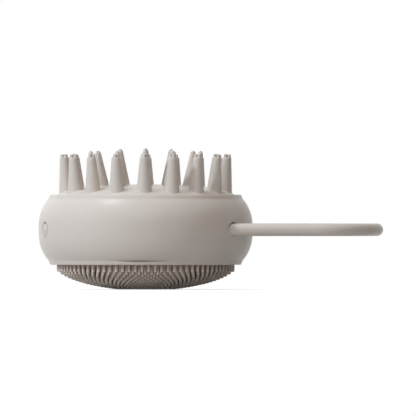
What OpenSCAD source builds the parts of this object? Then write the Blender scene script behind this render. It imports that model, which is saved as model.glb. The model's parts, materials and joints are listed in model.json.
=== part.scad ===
// Electric scalp massager: a round soft body with prongs on top, a field of bristles
// below, a loop handle at one side and a power button opposite. Millimetres, +Z up.
// The origin is on the body's axis, at the level of the bristle tips that it stands on.
// +X points along the handle.

/* [Body] */
// Largest diameter of the round body, at its waist
body_d = 74.5; // [73:0.5:80]
// Height of the body between the outer faces of its two lips
body_h = 24.4; // [24:0.2:28]
// How far the barrel draws in from its waist to each lip
shoulder_in = 4.05; // [3.4:0.05:4.3]
// Exponent of the barrel's curve, higher for a squarer shoulder
barrel_power = 2.7; // [2.2:0.1:3.6]
// Wall of the soft outer sleeve
sleeve_wall = 1.6; // [1.4:0.05:1.8]
// Height of the lip that turns in over each pad
lip_h = 0.95; // [0.8:0.05:1.1]
// Width of the flat ring that each lip shows round its pad
lip_w = 2.3; // [2:0.05:2.5]
// How far each lip widens from its outer face to its crease
lip_flare = 0.3; // [0.1:0.05:0.4]

/* [Scalp pad] */
// Rise of the domed pad above the upper lip
pad_rise = 3.6; // [2.6:0.1:4.4]
// Thickness of the pad
pad_t = 2.2; // [2:0.1:2.6]
// Exponent of the pad's dome, higher for a flatter middle
pad_power = 2.2; // [2:0.1:2.6]
// Height of the middle prong above the dome
prong_h = 12.6; // [10:0.2:15]
// Radius of the shallow crown that the prong tips follow
tip_crown_r = 200; // [150:10:300]
// Distance of the outer eighteen prongs' feet in from the pad's edge
outer_ring_in = 3.2; // [3.1:0.1:4]
// Foot circle of the middle twelve prongs, as a share of the outer one
middle_ring_share = 0.646; // [0.63:0.001:0.67]
// Foot circle of the inner six prongs, as a share of the outer one
inner_ring_share = 0.342; // [0.32:0.001:0.37]
// Outward lean of the inner prongs in degrees
inner_lean = 3.5; // [0:0.5:5]
// Outward lean of the middle prongs in degrees
middle_lean = 6; // [0:0.5:7]
// Outward lean of the outer prongs in degrees
outer_lean = 4.5; // [0:0.5:6]
// Radius of a prong at its foot
prong_foot_r = 2.85; // [2.4:0.05:3]
// Radius of the round tip of an inner or middle prong
prong_tip_r = 0.8; // [0.6:0.05:1]
// Radius of the flat top of an outer prong
nub_seat_r = 1.57; // [1.45:0.01:1.8]
// Number of nubs on an outer prong
nub_count = 3; // [2:1:3]
// Radius of a nub
nub_r = 0.6; // [0.5:0.01:0.62]
// Height of a nub
nub_h = 1.15; // [0.8:0.05:1.4]

/* [Brush] */
// Height of the lower lip above the surface that the bristles stand on
brush_drop = 8.55; // [8:0.05:10]
// Length of the outermost bristles that shows below the lip
edge_show = 2.5; // [2:0.1:3]
// Depth of the flat that the tips are cut to
tip_cut = 0.5; // [0.4:0.05:0.6]
// Length of a bristle from the backing to its tip
bristle_l = 3; // [2.8:0.1:3.2]
// Width of a bristle
bristle_w = 0.95; // [0.7:0.05:1.1]
// Number of rings of bristles round the middle one
bristle_rings = 12; // [10:1:12]
// Thickness of the backing
brush_t = 1.8; // [1.6:0.1:2]

/* [Handle] */
// Diameter of the handle's rod
rod_d = 4.4; // [4:0.1:4.6]
// Distance between the centre lines of the handle's two arms
arm_spread = 41.8; // [41:0.2:42.4]
// Reach of the handle beyond the body's waist
handle_reach = 45.4; // [40:0.2:60]
// Gap round each arm where it enters the sleeve
arm_gap = 0.4; // [0.2:0.05:0.6]

/* [Shells] */
// Wall of the two hard shells
shell_wall = 1.8; // [1.6:0.05:2]
// Height of the seam between the shells above the waist
seam_up = 5.25; // [5:0.05:5.5]
// Distance of the shell screws in from the body's waist
screw_inset = 9.25; // [9.05:0.05:9.45]
// Thickness of the seal between the shells
gasket_t = 0.3; // [0.2:0.05:0.4]

/* [Button] */
// Diameter of the power button's cap
button_d = 4.7; // [4.2:0.1:5]
// Gap round the cap, which shows as a ring
button_gap = 0.18; // [0.12:0.01:0.25]
// Direction of the button from the body's axis
button_az = 200; // [198:1:204]
// Travel of the button
button_travel = 0.5; // [0.3:0.05:0.5]

/* [Drive and supply] */
// Diameter of the motor's can
motor_d = 12; // [11:0.2:12.4]
// Length of the motor's can
motor_l = 16; // [14:0.5:17]
// Diameter of the motor's shaft
shaft_d = 1.5; // [1.2:0.1:2]
// Radius of the eccentric weight
weight_r = 5.6; // [5:0.1:6]
// Height of the eccentric weight
weight_h = 5; // [4:0.1:5.4]
// Length of the battery cell
cell_l = 25; // [22:0.5:27]
// Gap between the battery's tray and the screw boss beside it
tray_boss_gap = 0.3; // [0.2:0.1:2]
// Height of the battery cell
cell_h = 10; // [9:0.2:10.4]
// Diameter of the charging plug's bore
port_d = 2.6; // [2.4:0.05:2.8]
// Width of the jack's face that shows round the bore
port_rim = 0.5; // [0.4:0.05:0.8]
// Direction of the charging port from the body's axis
port_az = 160; // [157:1:162]

/* [Clearances] */
// Gap between neighbouring soft pieces
soft_gap = 0.1; // [0.06:0.01:0.14]
// Gap between a piece and the seat that it rests on
seat_gap = 0.05; // [0.03:0.01:0.08]
// Gap round a piece that slides
slide_gap = 0.08; // [0.05:0.01:0.1]

/* [Hidden] */
$fn = 48;
PRONG_RINGS = 4;
SLICES = 6;

// Colours of the real materials
SILICONE = [0.80, 0.77, 0.74];
HARD_PLASTIC = [0.74, 0.71, 0.68];
RUBBER = [0.20, 0.20, 0.21];
STEEL = [0.70, 0.71, 0.73];
BRASS = [0.80, 0.66, 0.36];
BOARD_GREEN = [0.12, 0.40, 0.24];
CELL_SILVER = [0.72, 0.74, 0.78];
BLACK = [0.10, 0.10, 0.11];

// Heights of the body
waist_r = body_d / 2;
low_lip_z = brush_drop;
top_lip_z = brush_drop + body_h;
waist_z = (low_lip_z + top_lip_z) / 2;
low_crease_z = low_lip_z + lip_h;
top_crease_z = top_lip_z - lip_h;
crease_dz = body_h / 2 - lip_h;
lip_r = waist_r - shoulder_in;
pad_r = lip_r - lip_w;
lip_in_r = pad_r + soft_gap;
flange_r = lip_r - sleeve_wall - soft_gap;
outer_ring_r = pad_r - outer_ring_in;
BARREL_STEPS = 16;
DOME_STEPS = 8;
CUT = 1;

// Radius of the barrel's outside at a height, which the sleeve and both shells follow
function barrel_r(z) = waist_r - shoulder_in * pow(min(1, abs(z - waist_z) / crease_dz), barrel_power);

// Points up the barrel, drawn in by an inset
function barrel_line(z0, z1, inset) = [
    for (i = [0 : BARREL_STEPS])
        let (z = z0 + (z1 - z0) * i / BARREL_STEPS)
            [barrel_r(z) - inset, z]
];

function reversed(points) = [for (i = [len(points) - 1 : -1 : 0]) points[i]];

// A dome's drop at a radius: 0 on the axis and 1 at its edge, where over is how far
// the whole curve would reach past that edge
function round_drop(u, power) = 1 - pow(1 - pow(u, power), 1 / power);
function dome_drop(r, edge_r, over, power) = round_drop(r / edge_r / over, power) / round_drop(1 / over, power);

// Radii across a dome, closer together towards its edge
function dome_radii(r1) = [for (i = [0 : DOME_STEPS]) r1 * sin(90 * i / DOME_STEPS)];

// Scalp pad: its upper face, and the shell's roof below it
PAD_OVER = 1.013;
function pad_top_z(r) = top_lip_z + pad_rise * (1 - dome_drop(r, pad_r, PAD_OVER, pad_power));
pad_seat_z = top_lip_z - pad_t - seat_gap;
function roof_z(r) = pad_top_z(r) - pad_t - seat_gap;

// Brush: the tips' crown before the flat is cut, the backing and the cup's floor
BRUSH_OVER = 1.066;
BRUSH_POWER = 2;
bristle_field_r = pad_r - bristle_w / 2;
bristle_pitch = bristle_field_r / bristle_rings;
function tip_z(r) =
    (low_lip_z - edge_show + tip_cut) * dome_drop(r, bristle_field_r, BRUSH_OVER, BRUSH_POWER) - tip_cut;
function backing_z(r) = tip_z(r) + bristle_l;
brush_edge_z = max(backing_z(pad_r), low_crease_z + seat_gap);
brush_seat_z = brush_edge_z + brush_t + seat_gap;
function floor_z(r) = backing_z(r) + brush_t + seat_gap;
hub_r = 1.5 * bristle_pitch;

// Shells
shell_inset = sleeve_wall + soft_gap;
cavity_inset = shell_inset + shell_wall;
cavity_r = waist_r - cavity_inset;
seam_z = waist_z + seam_up;
cup_top_z = seam_z - gasket_t / 2;
lid_low_z = seam_z + gasket_t / 2;
lid_tongue_h = 1.2;
lid_tongue_t = 0.8;
SCREW_AZ = [0, 90, 132, 228, 270];
screw_circle_r = waist_r - screw_inset;
shell_screw_r = 1.05;
shell_screw_head_r = 2;
shell_screw_head_h = 1.5;
screw_seat_z = 12.8;
cup_boss_r = 3.2;
lid_boss_r = 2.6;
shell_screw_top_z = lid_low_z + 2.6;

// Handle
rod_r = rod_d / 2;
arm_y = arm_spread / 2;
bow_x = waist_r + handle_reach - rod_r - arm_y;
clamp_l = 6;
clamp_h = 3.5;
clamp_screw_dy = 3.4;
clamp_half_w = clamp_screw_dy + 1.5;
clamp_wall_gap = 2.25;
clamp_x0 = sqrt(pow(cavity_r, 2) - pow(arm_y + clamp_half_w, 2)) - clamp_wall_gap - clamp_l;
arm_in_x = clamp_x0 - 1;
clamp_split = 0.1;
groove_l = 1.6;
groove_depth = 0.6;
groove_x = clamp_x0 + (clamp_l - groove_l) / 2;
arm_boss_r = 3.7;
arm_boss_in = 0.6;
arm_boss_x = sqrt(pow(cavity_r, 2) - pow(arm_y + arm_boss_r, 2)) - arm_boss_in;
grommet_l = 2.4;
grommet_t = 0.75;

// Small screws
small_screw_r = 0.9;
small_head_r = 1.6;
small_head_h = 1.1;
clamp_screw_l = 7;
board_screw_l = 5;

// Board
board_t = 1.2;
switch_h = 3.5;
board_top_z = waist_z - switch_h / 2;
board_low_z = board_top_z - board_t;
board_wall_gap = 3.75;
board_motor_gap = 0.9;
board_boss_gap = 1.6;
board_edge_r = cavity_r - board_wall_gap;
board_half_w = screw_circle_r * sin(SCREW_AZ[2]) - cup_boss_r - board_boss_gap;
standoff_r = 2.2;

// Button, measured outwards along its own axis
button_r = button_d / 2;
button_flange_r = button_r + 0.85;
button_flange_t = 0.8;
button_pocket_s = cavity_r;
button_stop_gap = 0.15;
button_flange_s = button_pocket_s + button_travel + button_stop_gap + button_flange_t;
guide_boss_r = 4.6;
guide_l = 2.85;
guide_end_s = button_pocket_s - guide_l;
stem_r = 1.4;
stem_out = 1;
stem_end_s = guide_end_s - stem_out;
seal_t = 1;
seal_l = 1;
plunger_r = 1;
plunger_l = 2.05;
plunger_out = 1.25;
switch_face_s = stem_end_s - plunger_out;
switch_l = 3.7;
switch_w = 6;

// Charging jack
port_r = port_d / 2;
jack_nose_r = port_r + 1.2;
jack_nose_s = waist_r - sleeve_wall - 0.25;
jack_face_s = cavity_r - 0.75;
jack_l = 8.5;
jack_w = 6;
port_depth = 8.4;

// Motor
boot_t = 1.2;
boot_h = 8;
cradle_t = 1.6;
cradle_h = 7;
motor_r = motor_d / 2;
boot_r = motor_r + seat_gap + boot_t;
cradle_in_r = boot_r + seat_gap;
cradle_r = cradle_in_r + cradle_t;
motor_seat_z = floor_z(cradle_r) + shell_wall + 0.2;
motor_z = motor_seat_z + seat_gap + boot_t + seat_gap;
motor_top_z = motor_z + motor_l;
shaft_r = shaft_d / 2;
bushing_r = shaft_r + 1;
bushing_l = 2.2;
bushing_up = 0.4;
weight_z = motor_top_z + bushing_up + 0.3;
shaft_up = bushing_up + 0.3 + weight_h + 0.2;
lead_r = 0.5;
motor_lead_dy = 1.2;
board_in_x = -cradle_r - board_motor_gap;
lead_in = 0.8;
motor_lead_x = board_in_x - lead_in;
motor_lead_z = motor_z + 1.6;
lead_slot_w = 2 * (motor_lead_dy + lead_r) + 1;

// Battery
tray_t = 1;
tray_wall_h = 5;
cell_gap = 0.1;
tray_x = cradle_r + 0.4;
tray_z = floor_z(pad_r) + shell_wall + 0.2;
cell_x = tray_x + tray_t + cell_gap;
cell_z = tray_z + tray_t + seat_gap;
cell_top_z = cell_z + cell_h;
cell_w = screw_circle_r - cup_boss_r - tray_boss_gap - tray_x - 2 * (tray_t + cell_gap);
foam_h = 2;
foam_in = 1;
rib_z = cell_top_z + foam_h + 2 * seat_gap;
rib_t = 1.2;
battery_lead_dy = 1;
battery_lead_out = 3.5;
battery_lead_y = -(motor_r + battery_lead_out);
connector_l = 4;
connector_w = 5;
connector_h = 3;
connector_x = board_in_x - lead_in - connector_l;

// A place on the board: across, from 0 at its inner edge to 1 at its outer edge, and
// along, from -1 to 1
function board_at(across, along) = [board_in_x - across * (board_edge_r + board_in_x), along * board_half_w];
BOARD_HOLES = [board_at(0.624, 0), board_at(0.287, 0.83), board_at(0.431, -0.83)];
// Each chip's place on the board, and its size
CHIPS = [
    [board_at(0.4, 0.29), [5, 5, 1.2]],
    [board_at(0.475, -0.25), [4, 3, 1.1]],
    [board_at(0.356, -0.525), [3, 1.6, 1]],
    [board_at(0.119, 0.675), [1.6, 3, 1]],
    [board_at(0.139, -0.32), [3, 2, 1.5]]
];
capacitor_at = board_at(0.1, 0.375);
capacitor_r = 1.7;
capacitor_h = 2.6;
led_r = 1.4;
led_l = 3;
led_in = 4.2;
led_s = board_edge_r - led_in;

// Puts a shape at an angle round the axis, at the waist's height, with its own Z
// pointing straight out from the body
module out_from_axis(az) {
    translate([0, 0, waist_z]) rotate([0, 0, az]) rotate([0, 90, 0]) children();
}

module at_screws() {
    for (az = SCREW_AZ)
        rotate([0, 0, az]) translate([screw_circle_r, 0, 0]) children();
}

module both_arms() {
    for (side = [-1, 1])
        translate([0, side * arm_y, waist_z]) children();
}

// A rod along X between two places
module rod_x(x0, x1, r) {
    translate([x0, 0, 0]) rotate([0, 90, 0]) cylinder(r = r, h = x1 - x0);
}

module ring(r_in, r_out, h) {
    difference() {
        cylinder(r = r_out, h = h);
        translate([0, 0, -CUT]) cylinder(r = r_in, h = h + 2 * CUT);
    }
}

// ---------- Soft outer pieces ----------

// The sleeve's wall with both lips, turned round the axis
module sleeve_wall_ring() {
    crease_in = 0.25;
    outer = barrel_line(low_crease_z + crease_in, top_crease_z - crease_in, 0);
    inner = barrel_line(low_crease_z, top_crease_z, sleeve_wall);
    corner = 0.25;
    rotate_extrude($fn = 96) polygon(concat(
        [[lip_in_r, low_lip_z], [lip_r - corner, low_lip_z], [lip_r, low_lip_z + corner]],
        [[lip_r + lip_flare, low_crease_z]],
        outer,
        [[lip_r + lip_flare, top_crease_z]],
        [[lip_r, top_lip_z - corner], [lip_r - corner, top_lip_z], [lip_in_r, top_lip_z]],
        [[lip_in_r, top_crease_z]],
        reversed(inner),
        [[lip_in_r, low_crease_z]]
    ));
}

module body_sleeve() {
    color(SILICONE) difference() {
        sleeve_wall_ring();
        both_arms() rod_x(arm_boss_x, waist_r + CUT, rod_r + arm_gap);
        out_from_axis(button_az) cylinder(r = button_r + button_gap, h = waist_r + CUT);
        out_from_axis(port_az) cylinder(r = port_r + port_rim, h = waist_r + CUT);
    }
}

module pad_plate() {
    radii = dome_radii(pad_r);
    rotate_extrude($fn = 96) polygon(concat(
        [for (r = radii) [r, pad_top_z(r) - pad_t]],
        [[flange_r, top_lip_z - pad_t], [flange_r, top_crease_z - seat_gap]],
        [[pad_r, top_crease_z - seat_gap]],
        [for (r = reversed(radii)) [r, pad_top_z(r)]]
    ));
}

// A plain prong: a cone that ends in a round tip
module round_prong(l, root) {
    slope = (prong_foot_r - prong_tip_r) / (l - prong_tip_r);
    rotate_extrude($fn = 24) polygon(concat(
        [[0, -root], [prong_foot_r + slope * root, -root]],
        [for (a = [8, 32, 58]) [prong_tip_r * cos(a), l - prong_tip_r + prong_tip_r * sin(a)]],
        [[0, l]]
    ));
}

// A nubbed prong: a blunt cone whose flat top carries small round nubs
module nubbed_prong(l, root) {
    slope = (prong_foot_r - nub_seat_r) / l;
    edge = 0.15;
    nub_circle_r = nub_seat_r - edge - nub_r - 0.03;
    rotate_extrude($fn = 24) polygon([
        [0, -root],
        [prong_foot_r + slope * root, -root],
        [nub_seat_r, l - edge],
        [nub_seat_r - edge, l],
        [0, l]
    ]);
    for (i = [0 : nub_count - 1])
        rotate([0, 0, i * 360 / nub_count]) translate([nub_circle_r, 0, l - edge]) nub(edge);
}

module nub(root) {
    tip_share = 0.7;
    cylinder(r1 = nub_r, r2 = tip_share * nub_r, h = root + nub_h, $fn = 16);
}

// The four rings of prongs: how many, where the first stands, their foot circle and lean
prong_count = [1, 6, 12, 18];
prong_phase = [0, 30, 0, 10];
prong_ring_r = outer_ring_r * [0, inner_ring_share, middle_ring_share, 1];
prong_lean = [0, inner_lean, middle_lean, outer_lean];

// The prongs' feet reach below the dome by half of the pad's thickness
module prong_ring(k) {
    r = prong_ring_r[k];
    lean = prong_lean[k];
    tip_r = r + prong_h * tan(lean);
    tip_level = pad_top_z(0) + prong_h - pow(tip_r, 2) / 2 / tip_crown_r;
    length = (tip_level - pad_top_z(r)) / cos(lean);
    nubbed = k == PRONG_RINGS - 1;
    for (i = [0 : prong_count[k] - 1])
        rotate([0, 0, prong_phase[k] + i * 360 / prong_count[k]])
            translate([r, 0, pad_top_z(r)]) rotate([0, lean, 0])
                if (nubbed) nubbed_prong(length - nub_h, pad_t / 2);
                else round_prong(length, pad_t / 2);
}

module scalp_pad() {
    color(SILICONE) union() {
        pad_plate();
        for (k = [0 : PRONG_RINGS - 1]) prong_ring(k);
    }
}

// ---------- Brush ----------

// The backing's cross-section between two radii
module backing_outline(r0, r1) {
    radii = concat([r0], [for (r = dome_radii(pad_r)) if (r > r0 && r < r1) r], [r1]);
    at_edge = r1 == pad_r;
    rim = at_edge ? [
        [pad_r, brush_edge_z],
        [flange_r, brush_edge_z],
        [flange_r, brush_edge_z + brush_t],
        [pad_r, brush_edge_z + brush_t]
    ] : [];
    polygon(concat(
        [for (r = radii) [r, min(backing_z(r), brush_edge_z)]],
        rim,
        [for (r = reversed(radii)) [r, min(backing_z(r), brush_edge_z) + brush_t]]
    ));
}

// One four-sided bristle, from inside the backing down to its tip
module strand(r) {
    root = 0.6;
    half = bristle_w / 2;
    tip_half = 0.8 * half;
    z1 = backing_z(r) + root;
    z0 = max(0, tip_z(r));
    corners = [[-1, -1], [1, -1], [1, 1], [-1, 1]];
    points = concat(
        [for (c = corners) [r + c[0] * tip_half, c[1] * tip_half, z0]],
        [for (c = corners) [r + c[0] * half, c[1] * half, z1]]
    );
    sides = [for (i = [0 : 3]) let (j = (i + 1) % 4) each [[i, i + 4, j], [j, i + 4, j + 4]]];
    polyhedron(points = points, faces = concat([[0, 1, 2], [0, 2, 3], [4, 6, 5], [4, 7, 6]], sides));
}

// The strands of one ring that lie within one slice of the brush
module ring_strands(k, slice) {
    step = 360 / SLICES / k;
    for (i = [0 : k - 1])
        rotate([0, 0, slice_start(slice) + (i + 0.5) * step]) strand(k * bristle_pitch);
}

function slice_start(slice) = 270 + (slice - 1) * 360 / SLICES;

module brush_hub() {
    color(SILICONE) union() {
        rotate_extrude() backing_outline(0, hub_r);
        strand(0);
        for (slice = [1 : SLICES]) ring_strands(1, slice);
    }
}

module brush_slice(slice) {
    color(SILICONE) union() {
        rotate([0, 0, slice_start(slice)])
            rotate_extrude(angle = 360 / SLICES, $fn = 96) backing_outline(hub_r, pad_r);
        for (k = [2 : bristle_rings]) ring_strands(k, slice);
    }
}

// ---------- Handle ----------

module handle_loop() {
    color(SILICONE) union() {
        both_arms() difference() {
            rod_x(arm_in_x, bow_x, rod_r);
            rotate([0, 90, 0]) translate([0, 0, groove_x])
                ring(rod_r - groove_depth, rod_r + CUT, groove_l);
        }
        translate([bow_x, 0, waist_z]) rotate([0, 0, -90])
            rotate_extrude(angle = 180, $fn = 96) translate([arm_y, 0]) circle(r = rod_r);
    }
}

// The channel that holds an arm: its rib fills the arm's groove
module arm_channel() {
    difference() {
        rod_x(clamp_x0 - CUT, clamp_x0 + clamp_l + CUT, rod_r + seat_gap);
        rotate([0, 90, 0]) translate([0, 0, groove_x + soft_gap])
            ring(rod_r - groove_depth + seat_gap, rod_r + CUT, groove_l - 2 * soft_gap);
    }
}

module clamp_block(z0, z1) {
    translate([clamp_x0, -clamp_half_w, z0]) cube([clamp_l, 2 * clamp_half_w, z1 - z0]);
}

module at_clamp_screws() {
    both_arms() for (side = [-1, 1])
        translate([clamp_x0 + clamp_l / 2, side * clamp_screw_dy, clamp_h]) children();
}

module handle_clamps() {
    color(HARD_PLASTIC) difference() {
        both_arms() difference() {
            clamp_block(clamp_split / 2, clamp_h);
            arm_channel();
        }
        at_clamp_screws() translate([0, 0, -clamp_h - CUT])
            cylinder(r = small_screw_r + slide_gap, h = clamp_h + 2 * CUT);
    }
}

module handle_grommets() {
    color(RUBBER) both_arms() translate([arm_boss_x + seat_gap, 0, 0]) rotate([0, 90, 0])
        ring(rod_r + seat_gap / 2, rod_r + grommet_t - seat_gap, grommet_l - 2 * seat_gap);
}

// ---------- Shells ----------

// The lower shell's outside, from its domed floor to the seam
module cup_outside() {
    radii = dome_radii(pad_r);
    rotate_extrude($fn = 96) polygon(concat(
        [for (r = radii) [r, min(floor_z(r), brush_seat_z)]],
        barrel_line(brush_seat_z, cup_top_z, shell_inset),
        [[0, cup_top_z]]
    ));
}

module cup_cavity() {
    radii = dome_radii(pad_r);
    low_z = brush_seat_z + shell_wall;
    rotate_extrude($fn = 96) polygon(concat(
        [for (r = radii) [r, min(floor_z(r), brush_seat_z) + shell_wall]],
        barrel_line(low_z, cup_top_z, cavity_inset),
        [[barrel_r(cup_top_z) - cavity_inset, cup_top_z + CUT], [0, cup_top_z + CUT]]
    ));
}

// Everything that stands up from the floor or in from the wall of the lower shell
module cup_features() {
    at_screws() cylinder(r = cup_boss_r, h = cup_top_z);
    both_arms() clamp_block(-waist_z, -clamp_split / 2);
    both_arms() rod_x(arm_boss_x, waist_r, arm_boss_r);
    out_from_axis(button_az) translate([0, 0, guide_end_s])
        cylinder(r = guide_boss_r, h = waist_r - guide_end_s);
    for (p = BOARD_HOLES)
        translate([p[0], p[1], 0]) cylinder(r = standoff_r, h = board_low_z - seat_gap);
    cylinder(r = cradle_r, h = motor_seat_z + cradle_h);
    tray_rests();
}

module tray_rests() {
    side = 3;
    for (x = [tray_x, tray_x + tray_w() - side])
        for (y = [-1, 1])
            translate([x, y * (tray_half_l() - side / 2) - side / 2, 0])
                cube([side, side, tray_z - seat_gap]);
}

module cup_bores() {
    at_screws() {
        cylinder(r = shell_screw_head_r + 2 * slide_gap, h = screw_seat_z);
        cylinder(r = shell_screw_r + slide_gap, h = cup_top_z + CUT);
    }
    both_arms() {
        arm_channel();
        rod_x(arm_boss_x - CUT, waist_r, rod_r + seat_gap);
        rod_x(arm_boss_x - CUT, arm_boss_x + grommet_l, rod_r + grommet_t);
    }
    at_clamp_screws() translate([0, 0, -clamp_screw_l - seat_gap])
        cylinder(r = small_screw_r + seat_gap, h = clamp_screw_l);
    for (p = BOARD_HOLES)
        translate([p[0], p[1], board_top_z - board_screw_l - seat_gap])
            cylinder(r = small_screw_r + seat_gap, h = board_screw_l);
    out_from_axis(button_az) {
        translate([0, 0, button_pocket_s]) cylinder(r = button_flange_r + 0.2, h = waist_r);
        cylinder(r = stem_r + slide_gap, h = waist_r);
        translate([0, 0, guide_end_s - CUT])
            cylinder(r = stem_r + seal_t + seat_gap, h = seal_l + seat_gap + CUT);
    }
    out_from_axis(port_az) cylinder(r = jack_nose_r + slide_gap, h = waist_r);
    translate([0, 0, motor_seat_z]) cylinder(r = cradle_in_r, h = cup_top_z);
    translate([-waist_r / 2, 0, motor_seat_z + cup_top_z / 2])
        cube([waist_r, lead_slot_w, cup_top_z], center = true);
}

// The air inside the cup: its cavity less the features
module lower_shell() {
    color(HARD_PLASTIC) difference() {
        cup_outside();
        difference() {
            cup_cavity();
            cup_features();
        }
        cup_bores();
    }
}

module lid_outside() {
    radii = dome_radii(pad_r);
    rotate_extrude($fn = 96) polygon(concat(
        [[0, lid_low_z]],
        barrel_line(lid_low_z, pad_seat_z, shell_inset),
        [for (r = reversed(radii)) [r, roof_z(r)]]
    ));
}

module lid_cavity() {
    radii = dome_radii(pad_r - shell_wall);
    rotate_extrude($fn = 96) polygon(concat(
        [[0, lid_low_z - CUT], [barrel_r(lid_low_z) - cavity_inset, lid_low_z - CUT]],
        barrel_line(lid_low_z, pad_seat_z - shell_wall, cavity_inset),
        [for (r = reversed(radii)) [r, roof_z(r) - shell_wall]]
    ));
}

module lid_features() {
    at_screws() cylinder(r = lid_boss_r, h = top_lip_z);
    for (side = [-1, 1])
        translate([cell_x, side * cell_l / 4 - rib_t / 2, rib_z])
            cube([cell_w, rib_t, top_lip_z + pad_rise - rib_z]);
}

// The tongue hangs from the lid just inside the lower shell's wall, and is notched
// over the button's guide
module lid_tongue() {
    tongue_r = barrel_r(seam_z - lid_tongue_h) - cavity_inset - soft_gap;
    top = lid_low_z + lid_tongue_t;
    difference() {
        translate([0, 0, seam_z - lid_tongue_h])
            ring(tongue_r - lid_tongue_t, tongue_r, top - seam_z + lid_tongue_h);
        translate([0, 0, lid_low_z])
            ring(barrel_r(top) - cavity_inset + 0.2, waist_r, waist_r);
        out_from_axis(button_az) cylinder(r = guide_boss_r + soft_gap, h = waist_r);
    }
}

module upper_shell() {
    color(HARD_PLASTIC) difference() {
        union() {
            difference() {
                lid_outside();
                difference() {
                    lid_cavity();
                    lid_features();
                }
            }
            lid_tongue();
        }
        at_screws() cylinder(r = shell_screw_r + seat_gap / 2, h = shell_screw_top_z + seat_gap);
    }
}

module shell_gasket() {
    outer = barrel_r(seam_z) - shell_inset - 0.3;
    inner = barrel_r(seam_z) - cavity_inset + 0.3;
    color(RUBBER) translate([0, 0, cup_top_z]) ring(inner, outer, gasket_t);
}

module shell_screws() {
    color(STEEL) at_screws() {
        translate([0, 0, screw_seat_z - seat_gap - shell_screw_head_h])
            cylinder(r = shell_screw_head_r, h = shell_screw_head_h);
        translate([0, 0, screw_seat_z - seat_gap - CUT])
            cylinder(r = shell_screw_r, h = shell_screw_top_z - screw_seat_z + CUT);
    }
}

module small_screw(l) {
    translate([0, 0, seat_gap]) cylinder(r = small_head_r, h = small_head_h);
    translate([0, 0, -l]) cylinder(r = small_screw_r, h = l + small_head_h);
}

module inner_screws() {
    color(STEEL) union() {
        at_clamp_screws() small_screw(clamp_screw_l);
        for (p = BOARD_HOLES)
            translate([p[0], p[1], board_top_z]) small_screw(board_screw_l);
    }
}

// ---------- Power button and switch ----------

// The cap's face follows the barrel, so that it lies flush with the sleeve
module power_button() {
    color(SILICONE) union() {
        intersection() {
            out_from_axis(button_az) translate([0, 0, button_flange_s - CUT / 2])
                cylinder(r = button_r, h = waist_r);
            rotate_extrude($fn = 96) polygon(concat(
                [[0, low_crease_z]], barrel_line(low_crease_z, top_crease_z, 0), [[0, top_crease_z]]
            ));
        }
        out_from_axis(button_az) {
            translate([0, 0, button_flange_s - button_flange_t])
                cylinder(r = button_flange_r, h = button_flange_t);
            translate([0, 0, stem_end_s])
                cylinder(r = stem_r, h = button_flange_s - button_flange_t / 2 - stem_end_s);
        }
    }
}

module button_seal() {
    color(RUBBER) out_from_axis(button_az) translate([0, 0, guide_end_s])
        ring(stem_r + slide_gap / 2, stem_r + seal_t, seal_l);
}

module switch_body() {
    color(BLACK) out_from_axis(button_az) translate([0, 0, switch_face_s - switch_l]) difference() {
        translate([-switch_h / 2, -switch_w / 2, 0]) cube([switch_h, switch_w, switch_l]);
        translate([0, 0, switch_l - plunger_l]) cylinder(r = plunger_r + slide_gap, h = plunger_l + CUT);
    }
}

module switch_plunger() {
    color(BRASS) out_from_axis(button_az)
        translate([0, 0, stem_end_s - seat_gap - plunger_l]) cylinder(r = plunger_r, h = plunger_l);
}

// ---------- Board and what it carries ----------

module jack_notch() {
    out_from_axis(port_az) translate([-waist_r, -jack_w / 2 - soft_gap, jack_face_s - jack_l - soft_gap])
        cube([2 * waist_r, jack_w + 2 * soft_gap, waist_r]);
}

module circuit_board() {
    color(BOARD_GREEN) difference() {
        translate([0, 0, board_low_z]) linear_extrude(board_t) difference() {
            intersection() {
                circle(r = board_edge_r, $fn = 96);
                translate([-waist_r, -board_half_w]) square([waist_r + board_in_x, 2 * board_half_w]);
            }
            for (p = BOARD_HOLES) translate(p) circle(r = small_screw_r + 2 * slide_gap);
        }
        jack_notch();
    }
}

// Stands a part on the board
module on_board(p) {
    translate([p[0], p[1], board_top_z]) children();
}

module board_chips() {
    color(BLACK) union() {
        for (chip = CHIPS)
            on_board(chip[0] - [chip[1][0], chip[1][1]] / 2) cube(chip[1]);
        on_board(capacitor_at) cylinder(r = capacitor_r, h = capacitor_h);
    }
}

module lead_connectors() {
    color([0.92, 0.90, 0.84]) union() {
        translate([connector_x, battery_lead_y - connector_w / 2, board_top_z])
            cube([connector_l, connector_w, connector_h]);
        translate([connector_x, -connector_w / 2, board_top_z]) cube([connector_l, connector_w, connector_h]);
    }
}

module charge_jack() {
    color(BLACK) out_from_axis(port_az) difference() {
        union() {
            translate([-jack_w / 2, -jack_w / 2, jack_face_s - jack_l]) cube([jack_w, jack_w, jack_l]);
            translate([0, 0, jack_face_s - CUT]) cylinder(r = jack_nose_r, h = jack_nose_s - jack_face_s + CUT);
        }
        translate([0, 0, jack_nose_s - port_depth]) cylinder(r = port_r, h = port_depth + CUT);
    }
}

module status_led() {
    color([0.95, 0.95, 0.90]) translate([0, 0, board_top_z + led_r - waist_z + seat_gap])
        out_from_axis(180) translate([0, 0, led_s]) cylinder(r = led_r, h = led_l);
}

// ---------- Battery ----------

function tray_w() = cell_w + 2 * (cell_gap + tray_t);
function tray_half_l() = cell_l / 2 + cell_gap + tray_t;

module battery_tray() {
    color(HARD_PLASTIC) difference() {
        translate([tray_x, -tray_half_l(), tray_z])
            cube([tray_w(), 2 * tray_half_l(), tray_t + tray_wall_h]);
        translate([tray_x + tray_t, -tray_half_l() + tray_t, tray_z + tray_t])
            cube([tray_w() - 2 * tray_t, 2 * (tray_half_l() - tray_t), tray_wall_h + CUT]);
    }
}

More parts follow.
